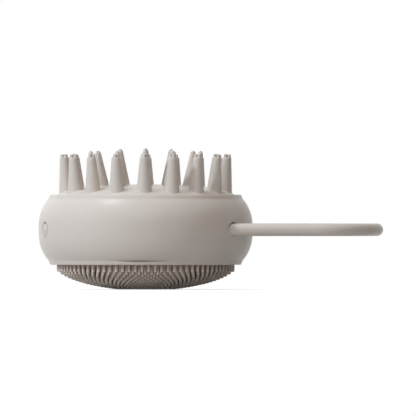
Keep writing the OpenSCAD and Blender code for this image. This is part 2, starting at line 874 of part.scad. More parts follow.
module battery_cell() {
    edge = 1.5;
    color(CELL_SILVER) translate([cell_x, cell_l / 2, cell_z]) rotate([90, 0, 0]) linear_extrude(cell_l)
        union() {
            translate([edge, 0]) square([cell_w - 2 * edge, cell_h]);
            translate([0, edge]) square([cell_w, cell_h - 2 * edge]);
            for (x = [edge, cell_w - edge])
                for (z = [edge, cell_h - edge])
                    translate([x, z]) circle(r = edge);
        }
}

module battery_foam() {
    color([0.30, 0.30, 0.32]) translate([cell_x + foam_in, foam_in - cell_l / 2, cell_top_z + seat_gap])
        cube([cell_w - 2 * foam_in, cell_l - 2 * foam_in, foam_h]);
}

module battery_leads() {
    lead_z = waist_z;
    color([0.72, 0.16, 0.14]) for (side = [-1, 1])
        translate([0, battery_lead_y + side * battery_lead_dy, lead_z])
            rod_x(connector_x + connector_l, cell_x, lead_r);
}

// ---------- Motor ----------

module motor_can() {
    color(STEEL) difference() {
        translate([0, 0, motor_z]) cylinder(r = motor_r, h = motor_l);
        translate([0, 0, motor_top_z - bushing_l]) cylinder(r = bushing_r, h = bushing_l + CUT);
        translate([0, 0, motor_z + CUT]) cylinder(r = shaft_r + slide_gap, h = motor_l);
    }
}

module motor_bushing() {
    color(BRASS) translate([0, 0, motor_top_z - bushing_l])
        ring(shaft_r + slide_gap / 2, bushing_r, bushing_l + bushing_up);
}

module motor_shaft() {
    color(STEEL) translate([0, 0, motor_z + 2 * CUT]) cylinder(r = shaft_r, h = motor_l - 2 * CUT + shaft_up);
}

module eccentric_weight() {
    hub = shaft_r + 1.1;
    color(BRASS) translate([0, 0, weight_z]) difference() {
        union() {
            cylinder(r = hub, h = weight_h);
            intersection() {
                cylinder(r = weight_r, h = weight_h);
                translate([0, -weight_r, 0]) cube([weight_r, 2 * weight_r, weight_h]);
            }
        }
        translate([0, 0, -CUT]) cylinder(r = shaft_r, h = weight_h + 2 * CUT);
    }
}

module motor_boot() {
    color(RUBBER) difference() {
        translate([0, 0, motor_seat_z + seat_gap]) cylinder(r = boot_r, h = boot_h + boot_t);
        translate([0, 0, motor_z - seat_gap]) cylinder(r = motor_r + seat_gap, h = motor_l);
        translate([-waist_r / 2, 0, motor_z + boot_h / 2])
            cube([waist_r, lead_slot_w, boot_h + boot_t], center = true);
    }
}

// Two leads from the can, out through the slot and up to the board's lower face
module motor_leads() {
    color([0.15, 0.20, 0.55]) for (side = [-1, 1]) translate([0, side * motor_lead_dy, motor_lead_z]) {
        translate([motor_lead_x, 0, 0]) {
            sphere(r = lead_r);
            cylinder(r = lead_r, h = board_low_z - motor_lead_z);
        }
        difference() {
            rod_x(motor_lead_x, -motor_r / 2, lead_r);
            translate([0, -side * motor_lead_dy, -CUT]) cylinder(r = motor_r, h = 2 * CUT);
        }
    }
}

// ---------- Nodes ----------

body_sleeve();
scalp_pad();
brush_hub();
for (i = [1 : SLICES])
    brush_slice(i);
handle_loop();
handle_clamps();
handle_grommets();
upper_shell();
lower_shell();
shell_gasket();
shell_screws();
inner_screws();
power_button();
button_seal();
switch_body();
switch_plunger();
circuit_board();
board_chips();
lead_connectors();
charge_jack();
status_led();
battery_cell();
battery_tray();
battery_foam();
battery_leads();
motor_can();
motor_boot();
motor_bushing();
motor_shaft();
eccentric_weight();
motor_leads();
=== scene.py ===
"""The looks of a round electric scalp massager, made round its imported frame.

Points are worked out in millimetres and put into meshes in metres. +Z is up, +X runs along
the handle, and the origin is on the body's axis at the level of the bristle tips. Azimuths
of shapes run anticlockwise from +X, seen from above.
"""
import json
import math

import bpy
import numpy as np
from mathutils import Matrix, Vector

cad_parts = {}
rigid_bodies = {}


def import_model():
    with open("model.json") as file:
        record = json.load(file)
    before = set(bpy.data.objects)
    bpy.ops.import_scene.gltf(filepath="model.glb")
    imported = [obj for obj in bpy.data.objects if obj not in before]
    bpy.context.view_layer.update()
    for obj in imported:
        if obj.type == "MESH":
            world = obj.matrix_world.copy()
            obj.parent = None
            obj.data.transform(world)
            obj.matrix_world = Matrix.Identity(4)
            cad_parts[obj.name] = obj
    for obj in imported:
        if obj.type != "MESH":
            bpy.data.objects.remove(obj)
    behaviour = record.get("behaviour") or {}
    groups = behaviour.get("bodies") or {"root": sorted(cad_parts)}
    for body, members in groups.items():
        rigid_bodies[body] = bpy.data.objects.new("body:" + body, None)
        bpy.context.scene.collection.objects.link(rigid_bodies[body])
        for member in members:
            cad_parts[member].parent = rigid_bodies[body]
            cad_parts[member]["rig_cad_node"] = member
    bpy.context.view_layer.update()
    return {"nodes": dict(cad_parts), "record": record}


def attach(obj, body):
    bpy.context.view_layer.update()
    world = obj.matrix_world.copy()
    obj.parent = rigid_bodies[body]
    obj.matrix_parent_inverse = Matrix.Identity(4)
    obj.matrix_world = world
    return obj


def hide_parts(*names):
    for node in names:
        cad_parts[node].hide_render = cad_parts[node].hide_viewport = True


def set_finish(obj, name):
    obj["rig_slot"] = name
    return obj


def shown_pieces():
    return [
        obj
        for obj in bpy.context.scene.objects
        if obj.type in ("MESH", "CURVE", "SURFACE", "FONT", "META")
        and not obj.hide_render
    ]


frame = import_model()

MM = 0.001
TURN = 2 * math.pi

# The body, as the part's source has it
WAIST_R = 37.25
WAIST_Z = 20.75
LOW_LIP_Z = 8.55
TOP_LIP_Z = 32.95
CREASE_DZ = 11.25
SHOULDER_IN = 4.05
BARREL_POWER = 2.7
LIP_R = 33.2
FLANGE_R = 31.5
PAD_R = 30.9
PAD_T = 2.2
PAD_RISE = 3.6
PAD_OVER = 1.013
PAD_POWER = 2.2
CROWN_R = 30.425
CROWN_RISE = 6.55
CROWN_OVER = 1.066
CROWN_CUT = 0.5
SLEEVE_WALL = 1.6
ARM_Y = 20.9
ROD_R = 2.2
BUTTON_AZ = math.radians(200)
PORT_AZ = math.radians(160)


# ---------- Shapes shared by several pieces ----------


def barrel_r(z):
    """Radius of the barrel: waist less shoulder times the distance from the waist, as a share, to a power."""
    share = np.minimum(1, np.abs(z - WAIST_Z) / CREASE_DZ)
    return WAIST_R - SHOULDER_IN * share**BARREL_POWER


def round_drop(u, power):
    """Drop of a super-ellipse from its top: 1 - (1 - u^p)^(1/p)."""
    return 1 - (1 - np.minimum(u, 1) ** power) ** (1 / power)


def dome_drop(r, edge_r, over, power):
    """Drop of a dome as a share: 0 on the axis and 1 at its edge, which is 1/over along the whole curve."""
    return round_drop(r / edge_r / over, power) / round_drop(1 / over, power)


def pad_top_z(r):
    """Height of the scalp pad's upper face: the lip's, plus the rise that the dome's drop leaves."""
    return TOP_LIP_Z + PAD_RISE * (1 - dome_drop(r, PAD_R, PAD_OVER, PAD_POWER))


def bristle_tip_z(r):
    """Height of the bristles' round crown: the dome's drop times its rise, less what the middle is cut by."""
    return CROWN_RISE * dome_drop(r, CROWN_R, CROWN_OVER, 2) - CROWN_CUT


def smooth_step(x):
    """0 below 0, 1 above 1, and 3x^2 - 2x^3 between."""
    x = np.clip(x, 0, 1)
    return x * x * (3 - 2 * x)


def rounded(points, steps):
    """A profile with each of its (r, z, radius) corners cut by an arc of that radius, as (r, z) rows.

    An arc is the quadratic curve (1-t)^2 a + 2t(1-t) corner + t^2 b between two points that lie
    the radius away along the sides.
    """
    out = []
    t = np.linspace(0, 1, steps)[:, None]
    for i, (r, z, radius) in enumerate(points):
        here = np.array([r, z])
        if radius == 0 or i in (0, len(points) - 1):
            out.append(here[None])
            continue
        ends = []
        for other in (points[i - 1], points[i + 1]):
            way = np.array(other[:2]) - here
            ends.append(here + way * radius / np.linalg.norm(way))
        out.append((1 - t) ** 2 * ends[0] + 2 * t * (1 - t) * here + t**2 * ends[1])
    return np.concatenate(out)


def around(sides):
    """Evenly spaced directions of a full turn."""
    return np.arange(sides) * TURN / sides


def turned(r, z, a):
    """Points at radii r, heights z and directions a: (r cos a, r sin a, z)."""
    return np.stack(np.broadcast_arrays(r * np.cos(a), r * np.sin(a), z), -1)


def ring_quads(rows, columns, wrap_rows=False):
    """Faces between closed rings of points, numbered ring by ring.

    They face outward where the rings run up and the points of each run anticlockwise.
    """
    i = np.arange(rows if wrap_rows else rows - 1)[:, None]
    j = np.arange(columns)[None]
    a = i * columns + j
    b = i * columns + (j + 1) % columns
    up = ((i + 1) % rows - i) * columns
    return np.stack([a, b, b + up, a + up], -1).reshape(-1, 4)


def closed_rings(rings, sides, poles):
    """A closed solid of rings, with a fan of faces to the first pole below them and to the second above."""
    j = np.arange(sides)
    k = (j + 1) % sides
    last = len(rings) - sides
    caps = np.concatenate([
        np.stack([np.full(sides, len(rings)), k, j], 1),
        np.stack([last + j, last + k, np.full(sides, len(rings) + 1)], 1),
    ])
    return np.concatenate([rings, poles]), [ring_quads(len(rings) // sides, sides), caps]


def lathe(profile, sides):
    """A closed solid turned round Z from a line of (r, z) points whose first and last lie on the axis."""
    profile = np.asarray(profile, float)
    rings = turned(profile[1:-1, :1], profile[1:-1, 1:], around(sides)).reshape(-1, 3)
    return closed_rings(rings, sides, [[0, 0, profile[0, 1]], [0, 0, profile[-1, 1]]])


def placed(points, origin, x_way, y_way, z_way):
    """Points carried from their own axes to the three given ones: origin + x X + y Y + z Z."""
    return origin + points @ np.array([x_way, y_way, z_way])


def copies(faces, moved):
    """One shape repeated: moved is (n, points, 3), and the faces are numbered on for each copy."""
    count, size = moved.shape[:2]
    step = np.arange(count)[:, None, None] * size
    return moved.reshape(-1, 3), [(f[None] + step).reshape(-1, f.shape[1]) for f in faces]


def joined(parts):
    """Several (points, faces) shapes as one."""
    points, faces, first = [], [], 0
    for part_points, part_faces in parts:
        points.append(part_points)
        faces.extend(f + first for f in part_faces)
        first += len(part_points)
    return np.concatenate(points), faces


def add_piece(name, shape, body, slot, replaced, sharp=40):
    """Puts a shape into the scene as one piece on a body, smooth where it bends less than sharp degrees."""
    points, faces = shape
    mesh = bpy.data.meshes.new(name)
    mesh.from_pydata((points * MM).tolist(), [], [f for part in faces for f in part.tolist()])
    mesh.validate()
    mesh.shade_smooth()
    mesh.set_sharp_from_angle(angle=math.radians(sharp))
    piece = bpy.data.objects.new(name, mesh)
    bpy.context.scene.collection.objects.link(piece)
    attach(piece, body)
    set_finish(piece, slot)
    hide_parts(*replaced)
    return piece


# ---------- Sleeve ----------

SLEEVE_COLUMNS = 480
BARREL_ROWS = 53
BARREL_HALF_H = 10.86
# Radius, height and rounding of the lower lip's corners; the upper lip mirrors them
LIP_CORNERS = (
    (31.0, 9.5, 0), (31.0, LOW_LIP_Z, 0.12), (LIP_R, LOW_LIP_Z, 0.25), (33.62, 9.45, 0.3), (33.756, 9.89, 0),
)
ROW_GAP = 0.02
CREASE_FULLNESS = 0.1
# Distance from the waist at which each smooth step of the crease's fullness starts, and how far it runs
CREASE_STEPS = ((6, 4.5), (10.4, 0.6))
OUTSIDE_R = 33
FOLD_AZ = math.radians(267)
FOLD_REACH = math.radians(23)
FOLD_Z = 9.85
FOLD_HALF_HEIGHT = 0.45
FOLD_DEPTH = 0.6
ROD_GAP = 0.42
ROD_HUG = 0.05
STEP_DEPTH = 1.4
STEP_EDGE = 0.1
HUG_FADE = 0.45
RIDGE_H = 0.4
RIDGE_OUT = 0.3
RIDGE_HALF_W = 0.6
WINDOW_R = 2.7
PORT_R = 1.8
# The tick's depth, its half width, its top and its end from the button's axis, and how far each fades
TICK_DEPTH = 0.5
TICK_HALF_W = 0.38
TICK_TOP = 0.12
TICK_END = -3.1
TICK_SIDE_FADE = 0.2
TICK_TOP_FADE = 0.2
TICK_END_FADE = 0.16
OUTER_STEPS = 9
INNER_STEPS = 4


def crease_fill(z):
    """The small fullness by which the barrel's shoulder meets the lip: two smooth steps, added."""
    from_waist = np.abs(z - WAIST_Z)
    return CREASE_FULLNESS * sum(smooth_step((from_waist - start) / run) for start, run in CREASE_STEPS)


def sleeve_fold(azimuth, z):
    """Depth of the shallow fold above the lower lip, in front: a smooth step along it times one across it."""
    along = smooth_step(1 - np.abs(azimuth - FOLD_AZ) / FOLD_REACH)
    return FOLD_DEPTH * along * smooth_step(1 - np.abs(z - FOLD_Z) / FOLD_HALF_HEIGHT)


def sleeve_profile():
    """The sleeve's closed outline, up outside and down inside, and the rows where its barrel runs start."""
    z = np.linspace(WAIST_Z - BARREL_HALF_H, WAIST_Z + BARREL_HALF_H, BARREL_ROWS)
    low = rounded(LIP_CORNERS, 6)
    top = low[::-1] * [1, -1] + [0, 2 * WAIST_Z]
    outer = np.stack([barrel_r(z) + crease_fill(z), z], 1)
    inner = np.stack([barrel_r(z) - SLEEVE_WALL, z], 1)[::-1]
    low = low[low[:, 1] < z[0] - ROW_GAP]
    top = top[top[:, 1] > z[-1] + ROW_GAP]
    return np.concatenate([low, outer, top, inner]), len(low), len(low) + len(outer) + len(top)


class Hole:
    """A round hole through the sleeve, along a level line at an azimuth, off the axis by across.

    Its rim is rounded by lip. Below the rim it may step in, at a depth, to a smaller radius. The
    grid's points in a block of columns and rows round it give way to rings. A notched hole is
    crossed by the tick, and its rings lie closer to its rim.
    """

    def __init__(self, az, across, radius, half_columns, half_rows, lip, step_in=None, notch=False):
        """Also works out the block, which reaches half_columns and half_rows each way from the axis."""
        self.az, self.across, self.radius, self.lip, self.notch = az, across, radius, lip, notch
        self.step_in = step_in
        self.crowding = 0.75 if notch else 0.9
        centre = round((az + math.asin(across / WAIST_R)) * SLEEVE_COLUMNS / TURN)
        self.c0, self.c1 = centre - half_columns, centre + half_columns
        self.r0, self.r1 = BARREL_ROWS // 2 - half_rows, BARREL_ROWS // 2 + half_rows


HOLES = [
    Hole(0, ARM_Y, ROD_R + ROD_GAP, 10, 10, 0.25, step_in=(STEP_DEPTH, ROD_R + ROD_HUG)),
    Hole(0, -ARM_Y, ROD_R + ROD_GAP, 10, 10, 0.25, step_in=(STEP_DEPTH, ROD_R + ROD_HUG)),
    Hole(BUTTON_AZ, 0, WINDOW_R, 9, 10, 0.07, notch=True),
    Hole(PORT_AZ, 0, PORT_R, 8, 8, 0.2),
]


def block_border(hole):
    """Columns and rows of the border of a hole's block of grid points, anticlockwise seen from outside."""
    cs, rs = np.arange(hole.c0, hole.c1 + 1), np.arange(hole.r0, hole.r1 + 1)
    wide, high = len(cs) - 1, len(rs) - 1
    columns = np.concatenate([cs[:-1], np.full(high, hole.c1), cs[:0:-1], np.full(high, hole.c0)])
    rows = np.concatenate([np.full(wide, hole.r0), rs[:-1], np.full(wide, hole.r1), rs[:0:-1]])
    return columns, rows


def from_down(angle):
    """How far a direction lies from straight down, from minus half a turn to half a turn."""
    return (angle + math.pi / 2 + math.pi) % TURN - math.pi


def crowded_below(angle):
    """Directions drawn towards straight down, where the tick's narrow groove needs more points.

    Within 60 degrees of it, the distance d from it becomes d^1.5 / (60 degrees)^0.5.
    """
    off = from_down(angle)
    near = math.radians(60)
    drawn = np.sign(off) * np.abs(off) ** 1.5 / near**0.5
    return np.where(np.abs(off) < near, drawn, off) - math.pi / 2


def tick_depth(across, up):
    """Depth of the engraved tick, a groove that runs down across the button's ring.

    It is the full depth times three smooth steps: in from its sides, up from its end and down from its top.
    """
    inside = smooth_step((TICK_HALF_W - np.abs(across)) / TICK_SIDE_FADE)
    along = smooth_step((up - TICK_END) / TICK_END_FADE) * smooth_step((TICK_TOP - up) / TICK_TOP_FADE)
    return TICK_DEPTH * inside * along


def hugging(angle):
    """1 below the rod, where a small ridge hugs it, and 0 above it, over a gap: a smooth step of -sin."""
    return smooth_step(-np.sin(angle) / HUG_FADE)


def towards_circle(hole, border, radius, angle, steps):
    """Rings from a block's border to a circle, across and up from a hole: border (1 - t) + circle t."""
    t = np.linspace(0, 1, steps + 1)[1:, None] ** hole.crowding
    across, up = border
    return across * (1 - t) + radius * np.cos(angle) * t, up * (1 - t) + radius * np.sin(angle) * t


def on_sleeve(hole, across, up, r, sink):
    """Points across and up from a hole's axis, put at radius r of the body and sunk along the hole's axis.

    Their distance out along the hole's azimuth is sqrt(r^2 - sideways^2) - sink.
    """
    sideways = across + hole.across
    out = np.sqrt(r**2 - sideways**2) - sink
    c, s = math.cos(hole.az), math.sin(hole.az)
    return np.stack([out * c - sideways * s, out * s + sideways * c, WAIST_Z + up], -1)


def outer_rings(hole, border, angle):
    """Rings on the sleeve's face from a hole's border over its rim, and down to a smaller bore if it has one.

    The rim is a quarter circle: radius + lip (1 - sin q), sunk by lip (1 - cos q). Under a rod
    it closes in to the bore, and a ridge is added round it: its height times a smooth step of 1 -
    the distance from its crest, as a share of its half width.
    """
    across, up = towards_circle(hole, border, hole.radius + hole.lip, angle, OUTER_STEPS)
    q = np.array([0.3, 0.6, 0.85, 1.0])[:, None] * math.pi / 2
    rim = hole.radius + hole.lip * (1 - np.sin(q))
    sink = np.concatenate([np.zeros((OUTER_STEPS, 1)), hole.lip * (1 - np.cos(q))])
    if hole.step_in:
        depth, bore_r = hole.step_in
        rim = np.concatenate([rim, [[hole.radius], [hole.radius - STEP_EDGE], [bore_r]]])
        rim = rim - (hole.radius - bore_r) * hugging(angle)
        rim[-2:] = np.minimum(rim[-2:], bore_r)
        sink = np.concatenate([sink, [[depth - STEP_EDGE], [depth], [depth]]])
    across = np.concatenate([across, rim * np.cos(angle)])
    up = np.concatenate([up, rim * np.sin(angle)])
    from_axis = np.hypot(across, up)
    if hole.step_in:
        from_crest = np.abs(from_axis - bore_r - RIDGE_OUT)
        sink = sink - RIDGE_H * hugging(angle) * smooth_step(1 - from_crest / RIDGE_HALF_W)
    if hole.notch:
        sink = sink + tick_depth(across, up) * (from_axis > hole.radius - 0.01)
    return on_sleeve(hole, across, up, barrel_r(WAIST_Z + up) + crease_fill(WAIST_Z + up), sink)


def inner_rings(hole, border, angle):
    """Rings on the sleeve's inner face from a hole's border to its bore."""
    radius = hole.step_in[1] if hole.step_in else hole.radius
    across, up = towards_circle(hole, border, radius, angle, INNER_STEPS)
    return on_sleeve(hole, across, up, barrel_r(WAIST_Z + up) - SLEEVE_WALL, 0)


def hole_rings(hole, z_of_row):
    """All rings of a hole, from its outer border through the wall to its inner border."""
    columns, rows = block_border(hole)
    z = z_of_row[rows]
    border = barrel_r(z) * np.sin(columns * TURN / SLEEVE_COLUMNS - hole.az) - hole.across, z - WAIST_Z
    angle = np.arctan2(border[1], border[0])
    if hole.notch:
        angle = crowded_below(angle)
    return np.concatenate([outer_rings(hole, border, angle), inner_rings(hole, border, angle)[::-1]])


def sleeve_shape():
    """The sleeve turned round Z from its closed outline, with rings in place of the grid at each hole."""
    profile, outer_row, inner_row = sleeve_profile()
    a = around(SLEEVE_COLUMNS)
    r = profile[:, :1] - sleeve_fold(a, profile[:, 1:]) * (profile[:, :1] > OUTSIDE_R)
    parts = [turned(r, profile[:, 1:], a).reshape(-1, 3)]
    quads = ring_quads(len(profile), SLEEVE_COLUMNS, wrap_rows=True)
    keep = np.ones((len(profile), SLEEVE_COLUMNS), bool)
    z_of_row = profile[outer_row:outer_row + BARREL_ROWS, 1]
    inner_end = inner_row + BARREL_ROWS - 1
    faces = []
    first = len(parts[0])
    for hole in HOLES:
        cs = np.arange(hole.c0, hole.c1) % SLEEVE_COLUMNS
        rs = np.arange(hole.r0, hole.r1)
        keep[np.ix_(outer_row + rs, cs)] = False
        keep[np.ix_(inner_end - rs - 1, cs)] = False
        columns, rows = block_border(hole)
        outer_ids = (outer_row + rows) * SLEEVE_COLUMNS + columns % SLEEVE_COLUMNS
        inner_ids = (inner_end - rows) * SLEEVE_COLUMNS + columns % SLEEVE_COLUMNS
        rings = hole_rings(hole, z_of_row)
        count, n = rings.shape[:2]
        last = first + (count - 1) * n
        j = np.arange(n)
        k = (j + 1) % n
        faces += [
            ring_quads(count, n) + first,
            np.stack([outer_ids[j], outer_ids[k], first + k, first + j], 1),
            np.stack([last + j, last + k, inner_ids[k], inner_ids[j]], 1),
        ]
        parts.append(rings.reshape(-1, 3))
        first += count * n
    return np.concatenate(parts), [quads[keep.ravel()], *faces]


# ---------- Scalp pad ----------

# One value for each ring of prongs, from the middle outwards
PRONG_COUNT = (1, 6, 12, 18)
PRONG_PHASE = (0, 30, 0, 10)
PRONG_RING_R = (0, 9.473, 17.894, 27.8)
PRONG_LEAN = (0, 3.5, 6, 4.5)
NUBBED_RING = 3
PAD_TURN = -0.7
PRONG_H = 12.6
PRONG_SIDES = 36
TIP_CROWN_R = 200
TIP_R = 0.92
TIP_H = 1.5
FOOT_R = 2.65
FOOT_FLARE = 0.16
FOOT_SUNK = 0.4
FOOT_TUCK = 0.01
FOOT_ROW_GAP = 0.05
SEAT_R = 1.5
SEAT_EDGE = 0.2
NUB_R = 0.57
NUB_H = 1.15
NUB_ROUND_H = 0.48
NUB_CIRCLE_R = 0.76


def pad_plate_shape():
    """The pad's plate: its underside, its flange under the lip and its domed top, turned round Z."""
    r = PAD_R * np.sin(np.linspace(0, math.pi / 2, 40))
    under = np.stack([r, pad_top_z(r) - PAD_T], 1)
    rim = np.array([(FLANGE_R, 30.75), (FLANGE_R, 31.9), (31.44, 31.95), (PAD_R, 31.95), (PAD_R, 32.5)])
    top = np.stack([r, pad_top_z(r)], 1)[::-1]
    return lathe(np.concatenate([under, rim, top]), 240)


def round_tip_profile(length):
    """A plain prong: a straight cone and a round tip.

    At the share u of its height the tip's radius is R (1 - 0.1 u) sqrt(1 - u^2).
    """
    h = np.linspace(0, length - TIP_H, 12)
    cone = np.stack([FOOT_R + (TIP_R - FOOT_R) * h / (length - TIP_H), h], 1)
    u = np.sin(np.linspace(0, math.pi / 2, 12))[1:]
    tip = np.stack([TIP_R * np.sqrt(1 - u**2) * (1 - 0.1 * u), length - TIP_H + TIP_H * u], 1)
    return np.concatenate([cone, tip])


def blunt_profile(length):
    """An outer prong: a straight cone with a small quarter circle for its shoulder and a nearly flat top."""
    h = np.linspace(0, length - SEAT_EDGE, 14)
    cone = np.stack([FOOT_R + (SEAT_R - FOOT_R) * h / length, h], 1)
    q = np.linspace(0, math.pi / 2, 7)[1:]
    edge = SEAT_EDGE * np.stack([np.cos(q), np.sin(q)], 1) + [SEAT_R - SEAT_EDGE, length - SEAT_EDGE]
    return np.concatenate([cone, edge, [(0.6, length - 0.02), (0, length - 0.03)]])


def nub_shape():
    """One small round nub: a side that leans in a little and a round top.

    At the angle u up the top its radius is R (cos u)^0.8 and its height H sin u.
    """
    u = np.linspace(0, math.pi / 2, 6)[1:]
    side_h = NUB_H - NUB_ROUND_H
    top = np.stack([NUB_R * np.cos(u) ** 0.8, side_h + NUB_ROUND_H * np.sin(u)], 1)
    top[-1, 0] = 0
    side = [(0, -0.2), (0.64, -0.2), (0.63, 0.0), (0.6, 0.06), (0.59, 0.3), (NUB_R, side_h)]
    return lathe(np.concatenate([side, top]), 18)


def prong_shape(ring, number):
    """One leaned prong whose foot flares out until it lies on the dome.

    The foot's height is found for each direction by stepping until the cone's point is on the
    dome. The flare's rows follow a quarter circle, and their gap to the dome is closed as they
    near it.
    """
    foot, lean = PRONG_RING_R[ring], math.radians(PRONG_LEAN[ring])
    az = math.radians(PRONG_PHASE[ring] + PAD_TURN) + number * TURN / PRONG_COUNT[ring]
    tip_r = foot + PRONG_H * math.tan(lean)
    tip_level = pad_top_z(0) + PRONG_H - tip_r**2 / 2 / TIP_CROWN_R
    length = (tip_level - pad_top_z(foot)) / math.cos(lean)
    nubbed = ring == NUBBED_RING
    profile = blunt_profile(length - NUB_H) if nubbed else round_tip_profile(length)
    slope = (profile[1, 0] - profile[0, 0]) / (profile[1, 1] - profile[0, 1])
    out, side = np.array([math.cos(az), math.sin(az), 0]), np.array([-math.sin(az), math.cos(az), 0])
    up = np.array([0, 0, 1.0])
    origin = out * foot + up * pad_top_z(foot)
    x_way = out * math.cos(lean) - up * math.sin(lean)
    z_way = out * math.sin(lean) + up * math.cos(lean)
    axes = (origin, x_way, side, z_way)
    a = around(PRONG_SIDES)

    def on_cone(extra_r, h):
        """Points of the cone at heights h along it, further out by extra_r."""
        return placed(turned(FOOT_R + slope * h + extra_r, h, a), *axes)

    def dome_above(points):
        """How far above each point the dome's face lies."""
        return pad_top_z(np.hypot(points[:, 0], points[:, 1])) - points[:, 2]

    h = np.zeros(PRONG_SIDES)
    for _ in range(12):
        h = h + dome_above(on_cone(0, h))
    rows = []
    for q in np.linspace(0, math.pi / 2, 6):
        points = on_cone(FOOT_FLARE * (1 - math.sin(q)), h + FOOT_FLARE * (1 - math.cos(q)))
        points[:, 2] += (1 - math.sin(q)) ** 1.5 * (dome_above(points) - FOOT_TUCK)
        rows.append(points)
    sunk = rows[0] - up * FOOT_SUNK
    start = h.max() + FOOT_FLARE + FOOT_ROW_GAP
    above = np.concatenate([[(FOOT_R + slope * start, start)], profile[profile[:, 1] > start]])
    body = placed(turned(above[:-1, :1], above[:-1, 1:], a), *axes)
    rings = np.concatenate([sunk[None], np.array(rows), body]).reshape(-1, 3)
    tip = placed(np.array([0, 0, above[-1, 1]]), *axes)
    shapes = [closed_rings(rings, PRONG_SIDES, [sunk.mean(0), tip])]
    if nubbed:
        nub, nub_faces = nub_shape()
        for turn in around(3):
            at = np.array([NUB_CIRCLE_R * math.cos(turn), NUB_CIRCLE_R * math.sin(turn), length - NUB_H])
            shapes.append((placed(nub + at, *axes), nub_faces))
    return joined(shapes)


def scalp_pad_shape():
    """The plate with its rings of prongs."""
    return joined([pad_plate_shape()] + [
        prong_shape(ring, number) for ring, count in enumerate(PRONG_COUNT) for number in range(count)
    ])


# ---------- Brush ----------

BRISTLE_RINGS = 24
FIELD_R = 30.4
BRISTLE_PITCH = FIELD_R / BRISTLE_RINGS
BRISTLE_R = 0.56
BRISTLE_L = 3.0
BRISTLE_TIP_H = 0.6
CROWDED = 0.37
BRUSH_T = 1.8
BRUSH_EDGE_Z = 9.55
# The ring from which each count of bristles holds, outwards
RING_COUNTS = ((13, 84), (7, 42), (4, 24), (2, 12), (1, 6), (0, 1))


def backing_z(r):
    """Height of the face that the bristles stand on, level at its edge."""
    return np.minimum(bristle_tip_z(r) + BRISTLE_L, BRUSH_EDGE_Z)


def brush_backing_shape():
    """The bristles' backing with its flange above the lip, turned round Z."""
    r = PAD_R * np.sin(np.linspace(0, math.pi / 2, 40))
    under = np.stack([r, backing_z(r)], 1)
    over = np.stack([r, backing_z(r) + BRUSH_T], 1)[::-1]
    rim = np.array([(FLANGE_R, BRUSH_EDGE_Z), (FLANGE_R, BRUSH_EDGE_Z + BRUSH_T)])
    return lathe(np.concatenate([under, rim, over]), 240)


def bristle_places():
    """Radius, direction and thickness of every bristle.

    Ring k lies k pitches out, and every second ring is turned half a step. A bristle's radius is
    a share of the room along its ring, and at most that of the outer ones.
    """
    radii, angles, thick = [], [], []
    for k in range(BRISTLE_RINGS + 1):
        count = next(n for first, n in RING_COUNTS if k >= first)
        r = k * BRISTLE_PITCH
        radii.append(np.full(count, r))
        angles.append((np.arange(count) + (k + 1) % 2 / 2) * TURN / count - TURN / 4)
        room = TURN * r / count if k else BRISTLE_PITCH
        thick.append(np.full(count, min(BRISTLE_R, CROWDED * room)))
    return np.concatenate(radii), np.concatenate(angles), np.concatenate(thick)


def bristle_shapes():
    """Round bristles, all from one small lathe of few faces.

    A copy is widened to its thickness, and its points above the tip are drawn out along Z so
    that its foot reaches the backing.
    """
    profile = [
        (0, 0), (0.6 * BRISTLE_R, 0.08), (0.9 * BRISTLE_R, 0.28), (0.98 * BRISTLE_R, BRISTLE_TIP_H),
        (BRISTLE_R, 2.55), (BRISTLE_R + 0.06, BRISTLE_L), (0, BRISTLE_L + 0.5),
    ]
    shape, faces = lathe(profile, 8)
    r, angle, thick = bristle_places()
    tip = np.maximum(bristle_tip_z(r), 0)
    drawn = (backing_z(r) - tip - BRISTLE_TIP_H) / (BRISTLE_L - BRISTLE_TIP_H)
    z = shape[None, :, 2]
    z = np.where(z > BRISTLE_TIP_H, BRISTLE_TIP_H + (z - BRISTLE_TIP_H) * drawn[:, None], z) + tip[:, None]
    wide = (thick / BRISTLE_R)[:, None]
    x = shape[None, :, 0] * wide + (r * np.cos(angle))[:, None]
    y = shape[None, :, 1] * wide + (r * np.sin(angle))[:, None]
    return copies(faces, np.stack([x, y, z], -1))


# ---------- Handle ----------

ARM_IN_X = 12.5
ARM_END_ROUND = 0.25
BOW_X = 59.55
ROD_SIDES = 40
GROOVE_START = 15.7
GROOVE_END = 17.3
ROD_GROOVE_DEPTH = 0.6


